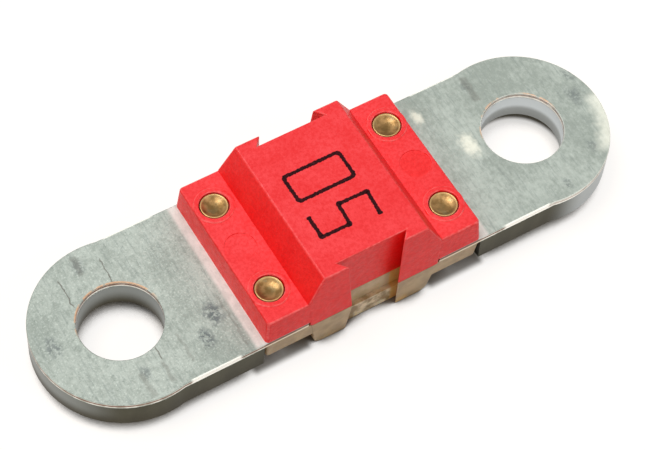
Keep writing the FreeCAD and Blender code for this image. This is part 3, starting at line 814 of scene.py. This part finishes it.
def boolean(mesh, shape, operation):
    """Join a shape to a mesh, or cut it away, and keep only the resulting mesh."""
    holders = [new_object("short_lived", each) for each in (mesh, mesh_of(shape, "tool"))]
    step = holders[0].modifiers.new("step", "BOOLEAN")
    step.operation, step.solver, step.object = operation, "EXACT", holders[1]
    settled = bpy.context.evaluated_depsgraph_get()
    result = bpy.data.meshes.new_from_object(holders[0].evaluated_get(settled))
    for holder in holders:
        spent = holder.data
        bpy.data.objects.remove(holder)
        bpy.data.meshes.remove(spent)
    return result


def without_slivers(mesh):
    """The mesh with its nearly coinciding corners merged, which the cuts leave where edges meet."""
    shape = bmesh.new()
    shape.from_mesh(mesh)
    bmesh.ops.remove_doubles(shape, verts=shape.verts, dist=SLIVER)
    bmesh.ops.dissolve_degenerate(shape, dist=SLIVER, edges=shape.edges)
    loose = [corner for corner in shape.verts if not corner.link_faces]
    bmesh.ops.delete(shape, geom=loose, context="VERTS")
    open_edges = sum(not edge.is_manifold for edge in shape.edges)
    print("%s: %d open edges" % (mesh.name, open_edges))
    shape.to_mesh(mesh)
    shape.free()
    return mesh


def rounded_rectangle(half_length, half_width, radius, steps=6):
    """The outline of a rectangle with rounded corners, anticlockwise."""
    outline = []
    for quarter, (side, end) in enumerate(((1, 1), (-1, 1), (-1, -1), (1, -1))):
        for k in range(steps + 1):
            angle = math.pi / 2 * (quarter + k / steps)
            outline.append((side * (half_length - radius) + radius * math.cos(angle),
                            end * (half_width - radius) + radius * math.sin(angle)))
    return outline


print("outline of a rounded rectangle: %d corners" % len(rounded_rectangle(2, 1, 0.2)))

# %% [markdown]
# Both mouldings have a block between two flanges. A dovetail notch runs up the middle of each
# long side: it is wider at its floor than at its mouth. Because the sides are drafted, the mouth
# gets a little wider as the side comes in, so the outline is worked out again for each height.
# These values, and those of the two mouldings, are in millimetres.

# %% Plan of the block
NOTCH_FLOOR_AT = 4.94
NOTCH_FLOOR_HALF = 2.50
SHALLOW_NOTCH_AT = 5.25
NOTCH_MOUTH_AT = 5.57
NOTCH_MOUTH_HALF = 1.95
NOTCH_LEAN = 0.873
BODY_HALF_WIDTH = 5.86
BLOCK_HALF_WIDTH = 5.92
CORNER = 0.25


def notch_half(y):
    """Half the dovetail's length at a distance y from the middle of the body."""
    return NOTCH_MOUTH_HALF + NOTCH_LEAN * (NOTCH_MOUTH_AT - y)


def block_outline(half_length, half_width, floor_y):
    """A rectangle with a dovetail notch in each long side, anticlockwise."""
    mouth, floor_half = notch_half(half_width), notch_half(floor_y)
    far = [(half_length, half_width), (mouth, half_width), (floor_half, floor_y),
           (-floor_half, floor_y), (-mouth, half_width), (-half_length, half_width)]
    return far + [(-x, -y) for x, y in far]


def flange(side, near_height, far_height, draft, edge):
    """The flange at one end, which gets smaller away from the strip. Its inner end is in the block."""
    inner = 3.2
    middle = side * (BODY_HALF_LENGTH + inner) / 2
    levels = []
    for height, inset in ((near_height, 0), (far_height, draft)):
        outline = rounded_rectangle((BODY_HALF_LENGTH - inner) / 2 - inset, BODY_HALF_WIDTH - inset, CORNER)
        levels.append((height, [(middle + x, y) for x, y in outline]))
    slab = loft(sorted(levels, key=lambda level: level[0]))
    soften(slab, edge, level_with(far_height))
    return slab


print("mouth of the notch: %.2f mm at the strip" % (2 * notch_half(BLOCK_HALF_WIDTH)))

# %% [markdown]
# On the cover, the flange's upper rim and the block's upper edges are rounded like the real
# moulding's. Each rivet stands in a seat with a low collar round it, and each flange carries a
# shallow round mark where the ejector pin pushed the part out of its mould. The block's sides
# reach down past the strip's narrowed middle as a short skirt, a channel lets the strip
# through, and a hollow leaves room for its fusible neck.

# %% Top cover
RIVET_PLACES = [(x, y) for x in (-RIVET_FROM_MIDDLE[0], RIVET_FROM_MIDDLE[0])
                for y in (-RIVET_FROM_MIDDLE[1], RIVET_FROM_MIDDLE[1])]
RIVET_HOLE_RADIUS = 0.80
FLANGE_TOP = 4.35
SKIRT_BOTTOM = 1.95
PLATEAU = 6.388
CHANNEL_HALF_WIDTH = 4.30
CHAMBER_HALF_LENGTH = 3.60
CHAMBER_HALF_WIDTH = 4.00
CHAMBER_ROOF = 5.20
# Height, half length and half width of the block, from the skirt up
BLOCK_LEVELS = ((SKIRT_BOTTOM, 4.72, BLOCK_HALF_WIDTH), (STRIP_TOP_MM, 4.72, 5.889),
                (FLANGE_TOP, 4.90, 5.731), (PLATEAU, 3.757, 5.571))


def chamber(floor, roof):
    """The hollow round the fusible neck, between two heights."""
    return plain_box((-CHAMBER_HALF_LENGTH, -CHAMBER_HALF_WIDTH, floor),
                     (CHAMBER_HALF_LENGTH, CHAMBER_HALF_WIDTH, roof))


block = loft([(height, block_outline(half_length, half_width, NOTCH_FLOOR_AT))
              for height, half_length, half_width in BLOCK_LEVELS])
print("cover block: %d fine edges" % soften(block, 0.04, level_with(SKIRT_BOTTOM)))
print("cover block: %d soft edges" % soften(block, 0.12))
cover = mesh_of(block, "top_cover_finished")
for side in (-1, 1):
    cover = boolean(cover, flange(side, STRIP_TOP_MM, FLANGE_TOP, 0.157, 0.14), "UNION")
# Profiles as pairs of radius and height
collar = [(0, 4.0), (1.36, 4.0), (1.35, 4.34), (1.335, 4.375), (1.31, 4.402), (1.27, 4.418),
          (1.2, 4.42), (0, 4.42)]
cover = boolean(cover, turned(collar, RIVET_PLACES), "UNION")

seat = [(0, 2.0), (RIVET_HOLE_RADIUS, 2.0), (RIVET_HOLE_RADIUS, 3.90), (0.975, 3.90), (0.975, 4.33),
        (0.985, 4.375), (1.01, 4.405), (1.06, 4.425), (1.06, 4.6), (0, 4.6)]
mark = [(0, 4.30), (1.03, 4.30), (1.05, 4.36), (1.05, 4.5), (0, 4.5)]
cover = boolean(cover, turned(seat, RIVET_PLACES), "DIFFERENCE")
cover = boolean(cover, turned(mark, [(-MARK_FROM_MIDDLE, 0), (MARK_FROM_MIDDLE, 0)]), "DIFFERENCE")
channel = plain_box((-8, -CHANNEL_HALF_WIDTH, 1.9), (8, CHANNEL_HALF_WIDTH, STRIP_TOP_MM))
cover = boolean(cover, channel, "DIFFERENCE")
cover = boolean(cover, chamber(2.0, CHAMBER_ROOF), "DIFFERENCE")
cover = without_slivers(cover)
cover.transform(Matrix.Scale(MM, 4))
cover.name = "top_cover_finished"
show_in_place_of("top_cover", cover)

# %% [markdown]
# The housing is the cover's counterpart below the strip. Its block goes down to a sole whose
# ends are well rounded, and its notches are shallow at first and deeper above a ledge.

# %% Lower housing
HOUSING_TOP = 1.95
HOUSING_FLANGE_BOTTOM = 0.40
SOLE = -1.10
LEDGE = 0.45
CHAMBER_FLOOR = 0.0

block = loft([(SOLE, block_outline(4.15, 5.68, SHALLOW_NOTCH_AT)),
              (HOUSING_TOP, block_outline(4.70, BLOCK_HALF_WIDTH, SHALLOW_NOTCH_AT))])
sole_ends = level_with(SOLE)
soften(block, 0.55, lambda edge: sole_ends(edge) and all(abs(corner.co.x) > 4 for corner in edge.verts))
soften(block, 0.10, lambda edge: not level_with(HOUSING_TOP)(edge))
housing = mesh_of(block, "lower_housing_finished")
for side in (-1, 1):
    housing = boolean(housing, flange(side, HOUSING_TOP, HOUSING_FLANGE_BOTTOM, 0.122, 0.14), "UNION")
deep = [(-NOTCH_FLOOR_HALF, NOTCH_FLOOR_AT), (NOTCH_FLOOR_HALF, NOTCH_FLOOR_AT),
        (notch_half(6.2), 6.2), (-notch_half(6.2), 6.2)]
for side in (1, -1):
    outline = [(side * x, side * y) for x, y in deep]
    housing = boolean(housing, loft([(LEDGE, outline), (2.1, outline)]), "DIFFERENCE")
hole = [(0, 0), (RIVET_HOLE_RADIUS, 0), (RIVET_HOLE_RADIUS, 2.1), (0, 2.1)]
housing = boolean(housing, turned(hole, RIVET_PLACES), "DIFFERENCE")
housing = boolean(housing, chamber(CHAMBER_FLOOR, 2.1), "DIFFERENCE")
housing = without_slivers(housing)
housing.transform(Matrix.Scale(MM, 4))
housing.name = "lower_housing_finished"
show_in_place_of("lower_housing", housing)

# %% [markdown]
# A rivet is a turned part, so one profile from its dished head down the shank and round the
# rolled flange to the bore is turned about its axis. A Screw modifier on a line would do the
# same. Points in code give the dish and the roll a true curve. They are in millimetres.

# %% Rivets


def arc(centre, radii, start, stop, steps):
    """Points on an arc in the profile's plane, with its angles in degrees."""
    angles = [math.radians(start + (stop - start) * k / steps) for k in range(steps + 1)]
    return [(centre[0] + radii[0] * math.cos(a), centre[1] + radii[1] * math.sin(a)) for a in angles]


DISH_BOTTOM = 4.11
dish = [(0, DISH_BOTTOM)] + [(r, DISH_BOTTOM + 0.24 * (r / 0.84) ** 2.6)
                             for r in (0.15, 0.3, 0.42, 0.54, 0.64, 0.72, 0.79)]
head_rim = arc((0.865, 4.285), (0.06, 0.065), 120, 0, 6)
shank = [(0.925, 3.94), (0.895, 3.90), (0.75, 3.90), (0.75, 0.40), (1.05, 0.40)]
roll = (arc((0.925, 0.225), (0.225, 0.175), 70, -90, 9)
        + arc((0.625, 0.225), (0.225, 0.175), -90, -175, 6)[1:])
bore = [(0.40, 0.30), (0.40, 1.45), (0, 1.85)]
for node_name in sorted(frame["nodes"]):
    if node_name.startswith("rivet"):
        low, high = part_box(node_name)
        middle = ((low.x + high.x) / 2 / MM, (low.y + high.y) / 2 / MM)
        rivet = mesh_of(turned(dish + head_rim + shank + roll + bore, [middle]), node_name + "_finished")
        rivet.transform(Matrix.Scale(MM, 4))
        show_in_place_of(node_name, rivet)

# %% [markdown]
# The number on the cover is printed in thin black strokes, and the ink is a little uneven: it
# gathers in small blobs at corners and ends. A text object would have a font's even strokes.
# Here a short path is drawn for each digit, and its two sides are pushed in and out by a small
# random amount, and further out near the corners.

# %% Strokes of ink
INK_THICKNESS = 0.010 * MM
STROKE_WIDTH_MM = 0.25
STEP_MM = 0.07
UNEVEN_MM = 0.030
BLOB_MM = 0.055
BLOB_REACH_MM = 0.18
INK_BOTTOM = (PLATEAU - 0.004) * MM
INK_TOP = PLATEAU * MM + INK_THICKNESS


def rounded_corners(points, radius, closed):
    """The path with each corner replaced by a short curve through four points."""
    rounded = []
    count = len(points)
    for index, corner in enumerate(points):
        corner = Vector(corner)
        if not closed and index in (0, count - 1):
            rounded.append(corner)
            continue
        before = (Vector(points[index - 1]) - corner).normalized() * radius
        after = (Vector(points[(index + 1) % count]) - corner).normalized() * radius
        for share in (0, 1 / 3, 2 / 3, 1):
            start, end = corner + before * (1 - share), corner + after * share
            rounded.append(start.lerp(end, share))
    return rounded


def even_steps(points, step, closed):
    """Points a step apart along the path."""
    path = points + points[:1] if closed else points
    spaced = []
    for start, end in zip(path, path[1:]):
        pieces = max(1, round((end - start).length / step))
        spaced += [start.lerp(end, k / pieces) for k in range(pieces)]
    if not closed:
        spaced.append(path[-1])
    return spaced


def ink_stroke(shape, points, corners, closed, chance):
    """A thin raised band along the path, with uneven sides and small blobs at its corners."""
    count = len(points)
    rows = []
    for index, point in enumerate(points):
        before = points[index - 1] if closed or index else point
        after = points[(index + 1) % count] if closed or index < count - 1 else point
        along_path = (after - before).normalized()
        side = Vector((-along_path.y, along_path.x))
        nearest = min((point - Vector(corner)).length for corner in corners)
        blob = BLOB_MM * math.exp(-(nearest / BLOB_REACH_MM) ** 2)
        widths = [STROKE_WIDTH_MM / 2 + blob + chance.uniform(-UNEVEN_MM, UNEVEN_MM) for _ in (0, 1)]
        if not closed and index in (0, count - 1):
            widths = [width * 0.6 for width in widths]
        rows.append([(point + side * widths[0]) * MM, (point - side * widths[1]) * MM])
    bottom, top = [[[shape.verts.new((p.x, p.y, height)) for p in row] for row in rows]
                   for height in (INK_BOTTOM, INK_TOP)]
    for index in range(count if closed else count - 1):
        after = (index + 1) % count
        shape.faces.new((top[index][0], top[index][1], top[after][1], top[after][0]))
        shape.faces.new((bottom[index][1], bottom[index][0], bottom[after][0], bottom[after][1]))
        for side in (0, 1):
            ring = (bottom[index][side], top[index][side], top[after][side], bottom[after][side])
            shape.faces.new(ring if side == 0 else ring[::-1])
    if not closed:
        for index in (0, count - 1):
            ring = (bottom[index][0], bottom[index][1], top[index][1], top[index][0])
            shape.faces.new(ring if index == 0 else ring[::-1])


print("strokes are %.2f mm wide" % STROKE_WIDTH_MM)

# %% [markdown]
# The ink is matt and not quite black, because the red shows through where it lies thin. The
# random numbers start from a fixed seed, so that every run gives the same two digits.

# %% Ink and digits
SEED = 50
FIVE_MM = [(-2.36, -1.19), (-2.36, -2.88), (-0.35, -2.90), (-0.24, -1.28), (1.84, -1.33), (1.72, -3.21)]
NOUGHT_MM = [(-2.28, 0.03), (1.78, 0.03), (1.78, 2.07), (-2.28, 2.07)]


def make_number_ink():
    ink, tree, shader = new_finish("number_ink", (0.02, 0.002, 0.003), 0.55, gloss=0.1)
    place = millimetres(tree)
    cover_shows = between(tree, noise(tree, place, 7.0, detail=3), 0.35, 0.7)
    tone = mix(tree, cover_shows, (0.008, 0.001, 0.002), (0.055, 0.002, 0.004))
    dried = between(tree, noise(tree, place, 3.5, detail=2), 0.62, 0.72)
    tone = mix(tree, product(tree, dried, 0.5), tone, (0.05, 0.025, 0.03))
    tree.links.new(tone, shader.inputs["Base Color"])
    return ink


chance = random.Random(SEED)
digits = bmesh.new()
for outline, closed, corner in ((FIVE_MM, False, 0.10), (NOUGHT_MM, True, 0.26)):
    path = even_steps(rounded_corners(outline, corner, closed), STEP_MM, closed)
    ink_stroke(digits, path, outline, closed, chance)
number_mesh = mesh_of(digits, "printed_number")
number_mesh.materials.append(make_number_ink())
number = new_object("printed_number", number_mesh)
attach(number, "root")
print("printed number: %d faces" % len(number_mesh.polygons))
